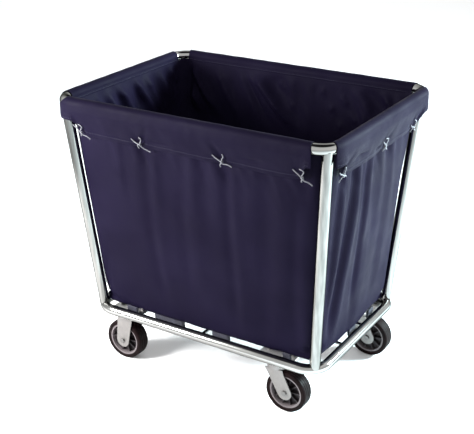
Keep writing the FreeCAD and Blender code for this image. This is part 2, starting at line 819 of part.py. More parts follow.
for caster in RIGID:
    rigid_bracket(caster)
keep(group("rigid_axles", [axle_bolt(caster) for caster in RIGID]), "rigid_axle_bolts")
keep(group("rigid_nuts", [axle_nut(caster) for caster in RIGID]), "rigid_axle_nuts")


def race_groove(name, spot):
    groove = doc.addObject("Part::Torus", name)
    bind(groove, "Radius1", "race_radius")
    bind(groove, "Radius2", "ball_dia / 2 + running_gap")
    return place(groove, spot)


def swivel_head(caster):
    """The upper plate with the ball race pressed out of it, and a hole for the kingpin."""
    across, along = CASTERS[caster]
    plate = place(
        plate_body(f"swivel_plate_{caster}", "plate_length", "plate_width"),
        (across, along, "caster_height - plate_thick"),
    )
    race = cylinder(
        f"race_block_{caster}", "race_dia / 2",
        "caster_height - plate_thick - ball_height - race_land",
        (across, along, "ball_height + race_land"),
    )
    solid = fuse(f"head_block_{caster}", [plate, race])
    grooved = cut(
        f"head_grooved_{caster}", solid,
        race_groove(f"upper_groove_{caster}", (across, along, "ball_height")),
    )
    bore = cylinder(
        f"head_bore_{caster}", "kingpin_dia / 2", "caster_height",
        (across, along, "ball_height - ball_dia"),
    )
    return keep(cut(f"head_{caster}", grooved, bore), f"swivel_top_plate_{caster}")


def swivel_fork(caster):
    """The turning fork: a round crown with the lower ball race on it, and two raked legs."""
    across, along = CASTERS[caster]
    legs = side_legs(f"swivel_legs_{caster}", "fork_crown_height + overcut", "swivel_trail")
    place(legs, (across, along, None))
    crown = cylinder(
        f"crown_{caster}", "race_dia / 2 + crown_margin",
        "ball_height - race_land - fork_crown_height",
        (across, along, "fork_crown_height"),
    )
    solid = fuse(f"fork_block_{caster}", [legs, crown])
    grooved = cut(
        f"fork_grooved_{caster}", solid,
        race_groove(f"lower_groove_{caster}", (across, along, "ball_height")),
    )
    bore = cylinder(
        f"fork_bore_{caster}", "kingpin_dia / 2 + running_gap", "caster_height",
        (across, along, "fork_crown_height - ball_dia"),
    )
    return keep(cut(f"fork_{caster}", grooved, bore), f"swivel_fork_{caster}")


def race_balls(caster):
    across, along = CASTERS[caster]
    balls = []
    for i in range(BALL_COUNT):
        angle = 360 * i / BALL_COUNT
        ball = doc.addObject("Part::Sphere", f"ball_{caster}_{i}")
        bind(ball, "Radius", "ball_dia / 2")
        balls.append(place(ball, (
            f"{across} + race_radius * cos( {angle} deg )",
            f"{along} + race_radius * sin( {angle} deg )", "ball_height",
        )))
    return keep(group(f"balls_{caster}", balls), f"swivel_balls_{caster}")


def kingpin(caster):
    """The rivet that holds the fork to the top plate."""
    across, along = CASTERS[caster]
    bottom = "fork_crown_height - pin_gap - pin_head_thick"
    head = cylinder(
        f"pin_head_{caster}", "kingpin_head / 2", "pin_head_thick", (across, along, bottom)
    )
    shank = cylinder(
        f"pin_shank_{caster}", "kingpin_dia / 2", f"caster_height - ( {bottom} )",
        (across, along, bottom),
    )
    return keep(fuse(f"pin_{caster}", [head, shank]), f"swivel_kingpin_{caster}")


for caster in SWIVEL:
    swivel_head(caster)
    swivel_fork(caster)
    race_balls(caster)
    kingpin(caster)
    keep(axle_bolt(caster), f"swivel_axle_bolt_{caster}")
    keep(axle_nut(caster), f"swivel_axle_nut_{caster}")


def make_tyre(caster):
    """The rubber tread, with its shoulders rounded off and three shallow grooves."""
    half = "wheel_width / 2"
    radius = "wheel_dia / 2"
    slope = f"{1 - math.sqrt(0.5)} * tread_round"
    points = [(f"0 - {half}", "tyre_bore / 2"), (f"0 - {half}", f"{radius} - tread_round")]
    points.append((f"{slope} - {half}", f"{radius} - {slope}"))
    points.append((f"tread_round - {half}", radius))
    for step in (-1, 0, 1):
        spot = f"{step} * groove_spread"
        points.append((f"{spot} - groove_width / 2", radius))
        points.append((f"{spot} - groove_width / 4", f"{radius} - groove_depth"))
        points.append((f"{spot} + groove_width / 4", f"{radius} - groove_depth"))
        points.append((f"{spot} + groove_width / 2", radius))
    points.append((f"{half} - tread_round", radius))
    points.append((f"{half} - {slope}", f"{radius} - {slope}"))
    points.append((half, f"{radius} - tread_round"))
    points.append((half, "tyre_bore / 2"))
    body = revolved(points, f"tyre_{caster}")
    return keep(place(body, axle_place(caster)), f"tyre_{caster}")


def make_hub(caster):
    """The plastic wheel centre: barrel, web, rim and radial ribs on both faces."""
    barrel = "( bush_length / 2 - bush_proud )"
    half_section = [
        (barrel, "bush_dia / 2"), (barrel, "barrel_dia / 2"),
        ("web_width / 2", "barrel_dia / 2"), ("web_width / 2", "rim_inner / 2"),
        ("rim_width / 2", "rim_inner / 2 + rim_taper"), ("rim_width / 2", "tyre_bore / 2"),
    ]
    section = half_section + [(f"0 - {across}", up) for across, up in reversed(half_section)]
    core = place(revolved(section, f"core_{caster}"), axle_place(caster))
    x_place, y_place, z_place = axle_place(caster)
    parts = [core]
    for i in range(RIB_COUNT):
        angle = 360 * i / RIB_COUNT
        rib = doc.addObject("Part::Box", f"rib_{caster}_{i}")
        bind(rib, "Length", "rim_inner / 2 - barrel_dia / 2 + 2 * overcut")
        bind(rib, "Width", "rib_width")
        bind(rib, "Height", "rib_thick")
        # The rib runs from just inside the barrel to just inside the rim's wall.
        turn = FreeCAD.Rotation(Y_AXIS, -angle)
        rib.Placement = FreeCAD.Placement(FreeCAD.Vector(0, 0, 0), turn)
        inner = "( barrel_dia / 2 - overcut )"
        bind(rib, "Placement.Base.x",
             f"{x_place} + {inner} * cos( {angle} deg ) + rib_thick / 2 * sin( {angle} deg )")
        bind(rib, "Placement.Base.y", f"{y_place} - rib_width / 2")
        bind(rib, "Placement.Base.z",
             f"{z_place} + {inner} * sin( {angle} deg ) - rib_thick / 2 * cos( {angle} deg )")
        parts.append(rib)
    return keep(fuse(f"hub_parts_{caster}", parts), f"hub_{caster}")


def make_bush(caster):
    """The plain bearing pressed into the hub, which turns on the axle bolt's shoulder."""
    points = [
        ("0 - bush_length / 2", "axle_dia / 2 + running_gap"), ("0 - bush_length / 2", "bush_dia / 2"),
        ("bush_length / 2", "bush_dia / 2"), ("bush_length / 2", "axle_dia / 2 + running_gap"),
    ]
    body = revolved(points, f"bush_body_{caster}")
    return keep(place(body, axle_place(caster)), f"wheel_bush_{caster}")


for caster in CASTERS:
    make_tyre(caster)
    make_hub(caster)
    make_bush(caster)


# ---------------------------------------------------------------- checks and files

doc.recompute()
for thing in doc.Objects:
    assert "Invalid" not in thing.State and "Error" not in thing.State, (thing.Name, thing.State)
os.makedirs("parts", exist_ok=True)
names = [piece.Label for piece in pieces]
assert len(set(names)) == len(names) <= 60, len(names)
for piece in pieces:
    shape = piece.Shape
    assert not shape.isNull() and shape.isValid(), piece.Label
    shape.exportStep(f"parts/{piece.Label}.step")
    print(f"{piece.Label}: {len(shape.Solids)} solids, {shape.Volume / 1000:.1f} cm3")
print(len(pieces), "sub-parts")
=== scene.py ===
import json
import math

import bpy
from mathutils import Matrix, Vector, noise


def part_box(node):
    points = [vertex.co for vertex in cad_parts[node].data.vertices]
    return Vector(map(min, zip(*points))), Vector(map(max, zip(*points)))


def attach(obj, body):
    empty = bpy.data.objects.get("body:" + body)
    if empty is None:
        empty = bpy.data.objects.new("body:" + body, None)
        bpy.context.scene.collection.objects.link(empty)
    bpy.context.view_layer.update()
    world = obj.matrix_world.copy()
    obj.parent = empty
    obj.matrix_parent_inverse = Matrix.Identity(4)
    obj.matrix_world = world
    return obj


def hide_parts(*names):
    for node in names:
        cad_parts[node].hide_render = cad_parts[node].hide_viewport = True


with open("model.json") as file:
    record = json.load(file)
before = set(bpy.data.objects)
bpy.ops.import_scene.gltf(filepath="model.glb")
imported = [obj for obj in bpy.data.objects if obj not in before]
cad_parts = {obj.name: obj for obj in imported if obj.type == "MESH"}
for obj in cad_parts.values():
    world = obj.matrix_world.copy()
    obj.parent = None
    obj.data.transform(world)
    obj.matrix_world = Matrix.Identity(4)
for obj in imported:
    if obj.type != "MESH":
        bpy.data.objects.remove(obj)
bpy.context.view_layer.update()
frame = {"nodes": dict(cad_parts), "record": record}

NODES = frame["nodes"]

# ---------------------------------------------------------------- sizes, all in metres

ring_low, ring_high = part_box("top_ring")
TUBE = (ring_high.z - ring_low.z) / 2
RAIL_Z = (ring_high.z + ring_low.z) / 2
RAIL_X = ring_high.x - TUBE
RAIL_Y = ring_high.y - TUBE
RAIL_BEND = 0.052
base_low, base_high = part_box("bottom_ring")
BASE_Z = (base_high.z + base_low.z) / 2
bag_low, bag_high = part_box("bag")

SIDES = {
    # side: (outward direction, direction along it, distance of the rail, half length of the rail)
    "front": (Vector((0, -1, 0)), Vector((1, 0, 0)), RAIL_Y, RAIL_X),
    "right": (Vector((1, 0, 0)), Vector((0, 1, 0)), RAIL_X, RAIL_Y),
    "back": (Vector((0, 1, 0)), Vector((-1, 0, 0)), RAIL_Y, RAIL_X),
    "left": (Vector((-1, 0, 0)), Vector((0, -1, 0)), RAIL_X, RAIL_Y),
}
UP = Vector((0, 0, 1))

CLOTH_THICK = 0.0012
WRAP = TUBE + 0.0012
WRAP_QUARTER = WRAP * math.pi / 2
FLAP_DROP = 0.092
FLAP_STRAIGHT = 0.018
FLAP_LEAN = 0.024
FLAP_SLOPE = FLAP_LEAN / (FLAP_DROP - FLAP_STRAIGHT)
FLAP_FACE = TUBE + 0.0023
KNOT_LIFT = 0.012
LACE_DIA = 0.0032

LONG_TIES = (-0.344, -0.142, 0.117, 0.350)
SHORT_TIES = (-0.234, 0.015, 0.207)
TIES = {
    "front": LONG_TIES,
    "back": tuple(-along for along in LONG_TIES),
    "left": tuple(-along for along in SHORT_TIES),
    "right": SHORT_TIES,
}
TIE_KIND = {"front": 0, "back": 1, "left": 1, "right": 2}


def smooth(value, low=0.0, high=1.0):
    """0 below low, 1 above high, and an even curve between."""
    share = min(1.0, max(0.0, (value - low) / (high - low)))
    return share * share * (3 - 2 * share)


def hump(value, middle, width):
    return math.exp(-((value - middle) / width) ** 2)


def on_side(side, along, out, up):
    """A point beside a rail: along it, outward from its middle, and up from its middle."""
    outward, direction, reach, _ = SIDES[side]
    return outward * (reach + out) + direction * along + UP * (RAIL_Z + up)


def make_object(name, points, faces, material, slot=None):
    mesh = bpy.data.meshes.new(name)
    mesh.from_pydata(points, [], faces)
    mesh.materials.append(MATERIALS[material])
    mesh.shade_smooth()
    made = bpy.data.objects.new(name, mesh)
    bpy.context.scene.collection.objects.link(made)
    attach(made, "frame")
    return made


def grid_faces(columns, rows, closed=False):
    """Faces of a grid whose points run row by row."""
    faces = []
    for row in range(rows - 1):
        for column in range(columns if closed else columns - 1):
            after = (column + 1) % columns
            low, high = row * columns, (row + 1) * columns
            faces.append((low + column, low + after, high + after, high + column))
    return faces


# ---------------------------------------------------------------- camera, floor and light

def make_camera():
    """The camera stands to the right of the front, a little above the trolley."""
    azimuth = math.radians(32.25)
    elevation = math.radians(23.23)
    roll = math.radians(-0.53)
    distance = 3.701
    target = Vector((-0.381, 0.532, BASE_Z))
    away = Vector((
        math.sin(azimuth) * math.cos(elevation),
        -math.cos(azimuth) * math.cos(elevation),
        math.sin(elevation),
    ))
    data = bpy.data.cameras.new("camera")
    data.sensor_width = 36
    data.lens = 76.9
    data.shift_x = 0.0103
    data.shift_y = 0.0027
    camera = bpy.data.objects.new("camera", data)
    bpy.context.scene.collection.objects.link(camera)
    turn = (
        Matrix.Rotation(azimuth, 4, "Z")
        @ Matrix.Rotation(math.pi / 2 - elevation, 4, "X")
        @ Matrix.Rotation(roll, 4, "Z")
    )
    camera.matrix_world = Matrix.Translation(target + away * distance) @ turn
    bpy.context.scene.camera = camera


def area_light(name, place, aim, size, power, color=(1, 1, 1)):
    data = bpy.data.lights.new(name, "AREA")
    data.shape = "RECTANGLE"
    data.size, data.size_y = size
    data.energy = power
    data.color = color
    light = bpy.data.objects.new(name, data)
    bpy.context.scene.collection.objects.link(light)
    light.location = place
    light.rotation_euler = (Vector(place) - Vector(aim)).to_track_quat("Z", "Y").to_euler()
    light.visible_camera = False


def make_stage():
    mesh = bpy.data.meshes.new("floor")
    half = 14
    mesh.from_pydata(
        [(-half, -half, 0), (half, -half, 0), (half, half, 0), (-half, half, 0)], [],
        [(0, 1, 2, 3)],
    )
    floor = bpy.data.objects.new("floor", mesh)
    bpy.context.scene.collection.objects.link(floor)
    material = bpy.data.materials.new("floor")
    material.use_nodes = True
    shader = material.node_tree.nodes["Principled BSDF"]
    shader.inputs["Base Color"].default_value = (0.96, 0.96, 0.96, 1)
    shader.inputs["Roughness"].default_value = 0.9
    shader.inputs["Specular IOR Level"].default_value = 0.1
    mesh.materials.append(material)

    world = bpy.data.worlds.new("studio")
    bpy.context.scene.world = world
    world.use_nodes = True
    # The room is white up to a steep height, with a dark ceiling that the polished tube mirrors.
    tree = world.node_tree
    background = tree.nodes["Background"]
    background.inputs["Strength"].default_value = 1.36
    coordinates = tree.nodes.new("ShaderNodeTexCoord")
    split = tree.nodes.new("ShaderNodeSeparateXYZ")
    ramp = tree.nodes.new("ShaderNodeValToRGB")
    tree.links.new(coordinates.outputs["Generated"], split.inputs["Vector"])
    tree.links.new(split.outputs["Z"], ramp.inputs["Fac"])
    tree.links.new(ramp.outputs["Color"], background.inputs["Color"])
    white, dark = ramp.color_ramp.elements
    white.position, white.color = 0.80, (1, 1, 1, 1)
    dark.position, dark.color = 0.86, (0.03, 0.03, 0.03, 1)
    area_light("key", (2.2, 1.7, 1.45), (0.35, 0, 0.6), (0.8, 0.8), 490, (0.76, 0.95, 1.0))
    area_light("fill", (-1.0, -1.25, 1.0), (-0.5, 0.1, 0.85), (0.5, 0.5), 92)


make_camera()
make_stage()
bpy.context.scene.view_settings.view_transform = "Standard"

# ---------------------------------------------------------------- materials

class Nodes:
    """A short way to write a material's nodes."""

    def __init__(self, name, color, roughness, metallic=0.0):
        self.material = bpy.data.materials.new(name)
        self.material.use_nodes = True
        self.tree = self.material.node_tree
        self.shader = self.tree.nodes["Principled BSDF"]
        self.set("Base Color", (*color, 1))
        self.set("Roughness", roughness)
        self.set("Metallic", metallic)

    def set(self, socket, value):
        self.shader.inputs[socket].default_value = value

    def add(self, kind, **values):
        node = self.tree.nodes.new(kind)
        for key, value in values.items():
            if key in node.inputs:
                node.inputs[key].default_value = value
            else:
                setattr(node, key, value)
        return node

    def link(self, source, target):
        self.tree.links.new(source, target)

    def place(self, scale=(1, 1, 1)):
        """The object's own coordinates, in metres, stretched by scale."""
        coordinates = self.add("ShaderNodeTexCoord")
        mapping = self.add("ShaderNodeMapping")
        mapping.inputs["Scale"].default_value = scale
        self.link(coordinates.outputs["Object"], mapping.inputs["Vector"])
        return mapping.outputs["Vector"]

    def noise(self, scale, detail=2.0, stretch=(1, 1, 1)):
        texture = self.add("ShaderNodeTexNoise")
        texture.inputs["Scale"].default_value = scale
        texture.inputs["Detail"].default_value = detail
        self.link(self.place(stretch), texture.inputs["Vector"])
        return texture.outputs["Fac"]

    def ramp(self, source, stops):
        ramp = self.add("ShaderNodeValToRGB")
        elements = ramp.color_ramp.elements
        while len(elements) < len(stops):
            elements.new(0.5)
        for element, (spot, color) in zip(elements, stops):
            element.position = spot
            element.color = (*color, 1)
        self.link(source, ramp.inputs["Fac"])
        return ramp.outputs["Color"]

    def grey_ramp(self, source, low, high, start=0.3, end=0.7):
        return self.ramp(source, [(start, (low,) * 3), (end, (high,) * 3)])

    def color_from(self, source, stops):
        self.link(self.ramp(source, stops), self.shader.inputs["Base Color"])

    def rough_from(self, source, low, high, start=0.3, end=0.7):
        self.link(self.grey_ramp(source, low, high, start, end), self.shader.inputs["Roughness"])

    def math(self, operation, first, second=None):
        node = self.add("ShaderNodeMath", operation=operation)
        for index, value in enumerate((first, second)):
            if value is None:
                continue
            if isinstance(value, (int, float)):
                node.inputs[index].default_value = value
            else:
                self.link(value, node.inputs[index])
        return node.outputs[0]

    def bump(self, source, strength, distance):
        node = self.add("ShaderNodeBump", Strength=strength, Distance=distance)
        self.link(source, node.inputs["Height"])
        before = self.shader.inputs["Normal"].links
        if before:
            self.link(before[0].from_socket, node.inputs["Normal"])
        self.link(node.outputs["Normal"], self.shader.inputs["Normal"])


def weave(nodes, pitch):
    """Height of a plain weave: warp threads across X plus Y, weft threads up Z."""
    coordinates = nodes.add("ShaderNodeTexCoord")
    split = nodes.add("ShaderNodeSeparateXYZ")
    nodes.link(coordinates.outputs["Object"], split.inputs["Vector"])
    turn = 2 * math.pi / pitch
    around = nodes.math("ADD", split.outputs["X"], split.outputs["Y"])
    warp = nodes.math("SINE", nodes.math("MULTIPLY", around, turn))
    weft = nodes.math("SINE", nodes.math("MULTIPLY", split.outputs["Z"], turn))
    return nodes.math("MULTIPLY", warp, weft)


def navy_cloth():
    """Coated oxford cloth: dark navy, with a plain weave, soft creases and a faint sheen."""
    nodes = Nodes("navy_cloth", (0.02, 0.018, 0.04), 0.5)
    nodes.color_from(
        nodes.noise(5, 4), [(0.3, (0.0033, 0.0023, 0.0082)), (0.7, (0.0054, 0.0040, 0.0126))]
    )
    nodes.rough_from(nodes.noise(14, 5), 0.52, 0.68)
    nodes.set("Specular IOR Level", 0.025)
    nodes.set("Sheen Weight", 0.002)
    nodes.set("Sheen Roughness", 0.5)
    nodes.set("Sheen Tint", (0.55, 0.62, 1.0, 1))
    nodes.bump(nodes.noise(26, 5), 0.3, 0.003)
    nodes.bump(weave(nodes, 0.0012), 0.3, 0.0002)
    return nodes.material


def webbing():
    nodes = Nodes("navy_webbing", (0.012, 0.012, 0.022), 0.75)
    nodes.color_from(nodes.noise(60, 3), [(0.3, (0.008, 0.008, 0.016)), (0.7, (0.02, 0.02, 0.036))])
    nodes.bump(weave(nodes, 0.0022), 0.6, 0.0005)
    return nodes.material


def polished_tube(name, color, grain):
    """Polished tube: fine streaks from drawing along its grain, and dimmer mirroring at its edges."""
    nodes = Nodes(name, color, 0.16, 1.0)
    nodes.set("Specular Tint", (0.12, 0.12, 0.12, 1))
    streaks = nodes.noise(120, 3, grain)
    nodes.color_from(streaks, [(0.3, tuple(0.62 * part for part in color)), (0.65, color)])
    nodes.rough_from(nodes.noise(9, 6), 0.06, 0.16)
    nodes.bump(nodes.noise(180, 3, grain), 0.05, 0.0004)
    return nodes.material


def zinc(name, color, grain=300):
    """Zinc plated steel: faint spangle, dull patches and fine pitting."""
    nodes = Nodes(name, color, 0.42, 0.75)
    nodes.color_from(
        nodes.noise(grain, 4),
        [(0.3, tuple(0.82 * part for part in color)), (0.75, color)],
    )
    nodes.rough_from(nodes.noise(30, 5), 0.34, 0.55)
    nodes.bump(nodes.noise(700, 2), 0.12, 0.0003)
    return nodes.material


def tyre_rubber():
    nodes = Nodes("tyre_rubber", (0.006, 0.003, 0.003), 0.5)
    nodes.color_from(
        nodes.noise(22, 5), [(0.3, (0.0024, 0.0009, 0.0010)), (0.8, (0.0075, 0.0028, 0.0030))]
    )
    nodes.rough_from(nodes.noise(45, 4), 0.42, 0.62)
    nodes.set("Specular IOR Level", 0.05)
    nodes.bump(nodes.noise(500, 3), 0.15, 0.0004)
    return nodes.material


def moulded(name, color, rough):
    nodes = Nodes(name, color, rough)
    nodes.color_from(
        nodes.noise(80, 4),
        [(0.3, tuple(0.8 * part for part in color)), (0.7, tuple(1.15 * part for part in color))],
    )
    nodes.rough_from(nodes.noise(60, 3), rough - 0.08, rough + 0.1)
    nodes.bump(nodes.noise(900, 2), 0.1, 0.0002)
    return nodes.material


def hub_plastic(caster):
    """Moulded grey plastic: a pale ring where the rim stands out of the tyre, and painted shade darkening
    the recessed web and centre inside it.
    """
    low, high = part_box(f"hub_{caster}")
    middle = (low + high) / 2
    radius = (high.z - low.z) / 2
    nodes = Nodes(f"hub_plastic_{caster}", (0.02, 0.018, 0.02), 0.5)
    coordinates = nodes.add("ShaderNodeTexCoord")
    flat = nodes.add("ShaderNodeVectorMath", operation="MULTIPLY")
    flat.inputs[1].default_value = (1, 0, 1)
    nodes.link(coordinates.outputs["Object"], flat.inputs[0])
    reach = nodes.add("ShaderNodeVectorMath", operation="DISTANCE")
    reach.inputs[1].default_value = (middle.x, 0, middle.z)
    nodes.link(flat.outputs["Vector"], reach.inputs[0])
    share = nodes.math("DIVIDE", reach.outputs["Value"], radius)
    # dark and web are painted shade in the recessed centre and web inside the rim; pale is the rim's own
    # grey plastic.
    dark, pale = (0.010, 0.007, 0.008), (0.115, 0.098, 0.102)
    web = (0.02, 0.015, 0.017)
    nodes.color_from(share, [(0.30, dark), (0.86, web), (0.89, pale), (0.985, pale)])
    nodes.rough_from(nodes.noise(60, 3), 0.42, 0.6)
    nodes.set("Specular IOR Level", 0.3)
    nodes.bump(nodes.noise(900, 2), 0.1, 0.0002)
    return nodes.material


def braided_lace():
    nodes = Nodes("grey_lace", (0.16, 0.16, 0.18), 0.6)
    wave = nodes.add("ShaderNodeTexWave", wave_type="BANDS", bands_direction="DIAGONAL")
    wave.inputs["Scale"].default_value = 420
    wave.inputs["Distortion"].default_value = 2
    nodes.link(nodes.place(), wave.inputs["Vector"])
    nodes.color_from(wave.outputs["Fac"], [(0.2, (0.05, 0.05, 0.06)), (0.8, (0.18, 0.18, 0.20))])
    nodes.bump(wave.outputs["Fac"], 0.5, 0.0004)
    return nodes.material


MATERIALS = {
    "chrome_tube": polished_tube("chrome_ring", (0.35, 0.35, 0.34), (0.04, 0.04, 1)),
    # The legs take a darker copy of the ring's polished steel: painted shade that dims their bright
    # reflections.
    "chrome_leg": polished_tube("chrome_leg", (0.27, 0.27, 0.26), (1, 1, 0.03)),
    "plated_rod": polished_tube("plated_rod", (0.30, 0.30, 0.30), (0.04, 0.04, 1)),
    "navy_cloth": navy_cloth(),
    "navy_webbing": webbing(),
    "navy_thread": moulded("navy_thread", (0.020, 0.020, 0.042), 0.6),
    "grey_lace": braided_lace(),
    "tyre_rubber": tyre_rubber(),
    "bush_nylon": moulded("bush_nylon", (0.6, 0.58, 0.52), 0.5),
    "bearing_steel": zinc("bearing_steel", (0.5, 0.5, 0.5)),
    "zinc_fastener": zinc("zinc_fastener", (0.16, 0.155, 0.15), 500),
    "zinc_stamping": zinc("zinc_stamping", (0.205, 0.194, 0.188)),
    # A near-white copy of the zinc: painted light, so that the mount plates read pale in the shade under
    # the bag.
    "zinc_plate_painted_light": zinc("zinc_plate_painted_light", (0.86, 0.85, 0.83)),
}
for entry in frame["record"]["subparts"]:
    shown = NODES[entry["node"]]
    shown.data.materials.clear()
    if entry["node"].startswith("hub_"):
        shown.data.materials.append(hub_plastic(entry["node"].removeprefix("hub_")))
    # Legs get the darker copy of the polished steel, painted shade on the same metal as the ring.
    elif entry["node"].startswith("leg_"):
        shown.data.materials.append(MATERIALS["chrome_leg"])
    # The mount plates take the near-white zinc, painted light against the shade under the bag.
    elif entry["node"] == "caster_mount_plates":
        shown.data.materials.append(MATERIALS["zinc_plate_painted_light"])
    else:
        shown.data.materials.append(MATERIALS[entry["material_slot"]])


# ---------------------------------------------------------------- laces

# Points of each kind of lace: along the rail, up from the knot, out from the flap, in millimetres.
TAILS = (
    (
        (-24, 20, 2.6), (-17, 14, 3.0), (-8, 8, 4.6), (0, 0, 6.2),
        (3, -7, 5.6), (11, -9, 4.0), (19, -12, 3.0), (25, -18, 2.6),
    ),
    (
        (-27, 13, 2.6), (-20, 6, 3.0), (-11, 2, 4.8), (-2, 0, 6.2),
        (4, -6, 5.8), (11, -12, 4.2), (20, -15, 3.0), (28, -19, 2.6),
    ),
    (
        (-27, 14, 2.6), (-20, 8, 3.0), (-11, 4, 4.8), (-3, 0, 6.2),
        (2, -7, 5.6), (11, -7, 4.0), (20, -8, 3.0), (27, -13, 2.6),
    ),
)
# The short hook and the stub that stand out of each kind of knot.
HOOKS = (
    ((-2, 4, 4.4), (4, 12, 4.2), (7, 18, 3.2), (2, 23, 2.6), (-7, 23, 0.8)),
    ((0, 3, 4.6), (5, 9, 4.4), (7, 16, 3.2), (3, 19, 1.6), (-2, 20, 0.4)),
    ((0, 3, 4.6), (3, 8, 4.4), (7, 13, 3.2), (6, 18, 1.8), (3, 21, 0.4)),
)
STUBS = (
    ((1, 1, 4.4), (-2, -6, 4.0), (-5, -11, 3.0), (-5, -14, 2.4)),
    ((-5, 2, 4.6), (-9, -4, 4.0), (-9, -11, 2.8), (-7, -15, 2.4)),
    ((1, 0, 4.4), (-3, -7, 4.0), (-9, -13, 3.0), (-8, -20, 2.4)),
)


def lace_points(side, along, route):
    """A route's points in place, beside the flap's sloping face."""
    up_knot = KNOT_LIFT - FLAP_DROP
    face = FLAP_FACE - FLAP_SLOPE * (-up_knot - FLAP_STRAIGHT)
    points = []
    for across, up, out in route:
        across, up, out = across / 1000, up / 1000, out / 1000
        points.append(on_side(side, along + across, face + out + FLAP_SLOPE * up, up_knot + up))
    return points


def nurbs(name, points, radius=0.0):
    curve = bpy.data.curves.new(name, "CURVE")
    curve.dimensions = "3D"
    curve.resolution_u = 12
    curve.bevel_depth = radius
    curve.bevel_resolution = 3
    curve.use_fill_caps = True
    spline = curve.splines.new("NURBS")
    spline.points.add(len(points) - 1)
    for spot, point in zip(spline.points, points):
        spot.co = (*point, 1)
    spline.order_u = 3
    spline.use_endpoint_u = True
    return curve


def line_of(points):
    """The smooth line of a NURBS curve through some control points, as a list of points."""
    curve = nurbs("line", points)
    carrier = bpy.data.objects.new("line", curve)
    mesh = bpy.data.meshes.new_from_object(carrier)
    line = [vertex.co.copy() for vertex in mesh.vertices]
    bpy.data.objects.remove(carrier)
    bpy.data.meshes.remove(mesh)
    return line


def line_length(line):
    return sum((after - before).length for before, after in zip(line, line[1:]))


def tube(line, radius, sides=8, taper=0.35):
    """Points and faces of a tube along a line, rounded off at both ends."""
    points, faces = [], []
    normal = None
    for i, here in enumerate(line):
        ahead = (line[min(i + 1, len(line) - 1)] - line[max(i - 1, 0)]).normalized()
        if normal is None:
            normal = ahead.orthogonal().normalized()
        normal = (normal - ahead * normal.dot(ahead)).normalized()
        other = ahead.cross(normal)
        at_end = i in (0, len(line) - 1)
        size = radius * (taper if at_end else 1.0)
        for k in range(sides):
            angle = 2 * math.pi * k / sides
            points.append(here + (normal * math.cos(angle) + other * math.sin(angle)) * size)
    faces = grid_faces(sides, len(line), closed=True)
    faces.append(tuple(reversed(range(sides))))
    faces.append(tuple(range(len(points) - sides, len(points))))
    return points, faces


def join(shapes):
    """One list of points and faces from several."""
    points, faces = [], []
    for more_points, more_faces in shapes:
        start = len(points)
        points += more_points
        faces += [tuple(start + i for i in face) for face in more_faces]
    return points, faces


def knot_shape(side, along, kind):
    """Two turns of lace round the crossing, with the hook and the stub that leave it."""
    radius = LACE_DIA / 2
    shapes = [
        tube(line_of(lace_points(side, along, route)), radius * 0.95)
        for route in (HOOKS[kind], STUBS[kind])
    ]
    for lift, tilt, size in ((1.4, 0.5, 3.4), (-1.6, -0.35, 3.2)):
        turn = []
        for k in range(15):
            angle = 2 * math.pi * k / 14
            across = size * math.cos(angle)
            turn.append((across, lift + tilt * across, 4.2 + 2.5 * math.sin(angle)))
        shapes.append(tube(lace_points(side, along, turn), radius * 0.8, taper=1.0))
    return join(shapes)


def make_laces():
    for side, places in TIES.items():
        for number, along in enumerate(places):
            kind = (number + TIE_KIND[side]) % 3
            points = lace_points(side, along, TAILS[kind])
            name = f"{side}_{number + 1}"
            lace = bpy.data.objects.new(f"tied_lace_{name}", nurbs(name, points, LACE_DIA / 2))
            bpy.context.scene.collection.objects.link(lace)
            lace.data.materials.append(MATERIALS["grey_lace"])
            knot = make_object(f"tied_knot_{name}", *knot_shape(side, along, kind), "grey_lace")
            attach(lace, "frame")
            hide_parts(f"lace_{name}")
            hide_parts("lace_knots")
            round(line_length(line_of(points)), 4)


make_laces()


# ---------------------------------------------------------------- stitches

def stitch_line(spots, radius=0.00035, length=0.003):
    """Short threads lying on cloth; a spot is (point, direction, outward)."""
    shapes = []
    for point, direction, outward in spots:
        line = []
        for share, lift in ((-0.5, -0.3), (-0.3, 0.7), (0.3, 0.7), (0.5, -0.3)):
            line.append(point + direction * (length * share) + outward * (radius * lift))
        shapes.append(tube(line, radius, sides=5, taper=0.6))
    return join(shapes)


# ---------------------------------------------------------------- flaps

# How far each flap reaches round the bends at its two ends, from the start of the bend:
# on top of the rail, and where it hangs.
REACH = {
    "front": ((0.012, 0.032), (0.004, 0.006)),
    "right": ((0.026, 0.029), (0.030, 0.052)),
    "back": ((0.014, 0.026), (0.016, 0.028)),
    "left": ((0.010, 0.026), (0.012, 0.026)),
}
HEM = 0.016
LIP_IN = 0.012
FLAP_STEP = 0.007
LIP_ROWS = 5
WRAP_ROWS = 12
STITCH_PITCH = 0.0055
FREE_END = 0.036
END_DROP = 0.046
# Short tucks pinched along a flap: place along it, half length, place down it, half width, depth.
TUCKS = {
    "right": ((-0.150, 0.030, 0.055, 0.0045, 0.009), (-0.028, 0.014, 0.072, 0.0050, 0.009)),
    "front": ((-0.070, 0.034, 0.066, 0.0050, 0.004), (0.215, 0.030, 0.060, 0.0050, 0.004)),
}


